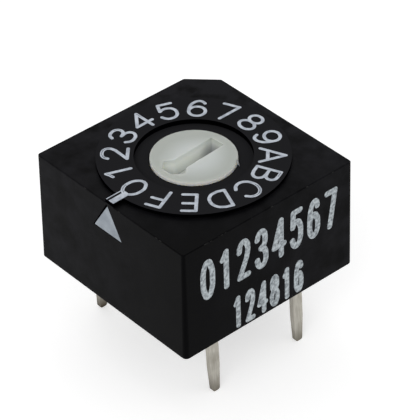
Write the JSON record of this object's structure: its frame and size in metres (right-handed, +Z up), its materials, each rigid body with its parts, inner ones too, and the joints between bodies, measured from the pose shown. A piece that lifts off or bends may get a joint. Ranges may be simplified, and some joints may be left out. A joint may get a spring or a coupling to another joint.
{
  "type": "rotary dip switch",
  "caption": "Square board-mounted rotary code switch: black case with a raised numbered ring, white screwdriver rotor with an arrow slot, and straight terminals below.",
  "frame": {"origin": "middle of the case's underside, the plane that sits on the circuit board, on the rotor's axis", "axes": "+Z up along the rotor's axis, away from the board; -X towards position 0 and the index triangle; the cut corner is at +X +Y"},
  "size_m": [0.01, 0.01, 0.0097],
  "materials": {
    "case": "satin moulded, fine texture",
    "base": "satin moulded",
    "potting_seal": "cast resin",
    "o_ring": "matt",
    "rotor": "satin moulded",
    "code_plate": "moulded",
    "code_conductor": "gold plated",
    "detent_ball": "polished",
    "detent_spring": "drawn wire",
    "terminal": "matt tin plated",
    "contact_spring": "gold plated"
  },
  "bodies": {
    "switch_body": {"case": "case", "base": "base", "potting_seal": "potting_seal", "o_ring": "o_ring", "terminal_1": "terminal", "terminal_c": "terminal", "terminal_4": "terminal", "terminal_2": "terminal", "terminal_8": "terminal", "contact_spring_1": "contact_spring", "contact_spring_c": "contact_spring", "contact_spring_4": "contact_spring", "contact_spring_2": "contact_spring", "contact_spring_8": "contact_spring"},
    "rotor_group": {"rotor": "rotor", "code_plate": "code_plate", "code_conductor": "code_conductor", "detent_ball_py": "detent_ball", "detent_ball_ny": "detent_ball", "detent_spring_py": "detent_spring", "detent_spring_ny": "detent_spring"}
  },
  "joints": [
    {"name": "rotor_turn", "type": "hinge", "parent": "switch_body", "child": "rotor_group", "pos_m": [0, 0, 0.00581], "axis": [0, 0, 1], "continuous": true}
  ]
}
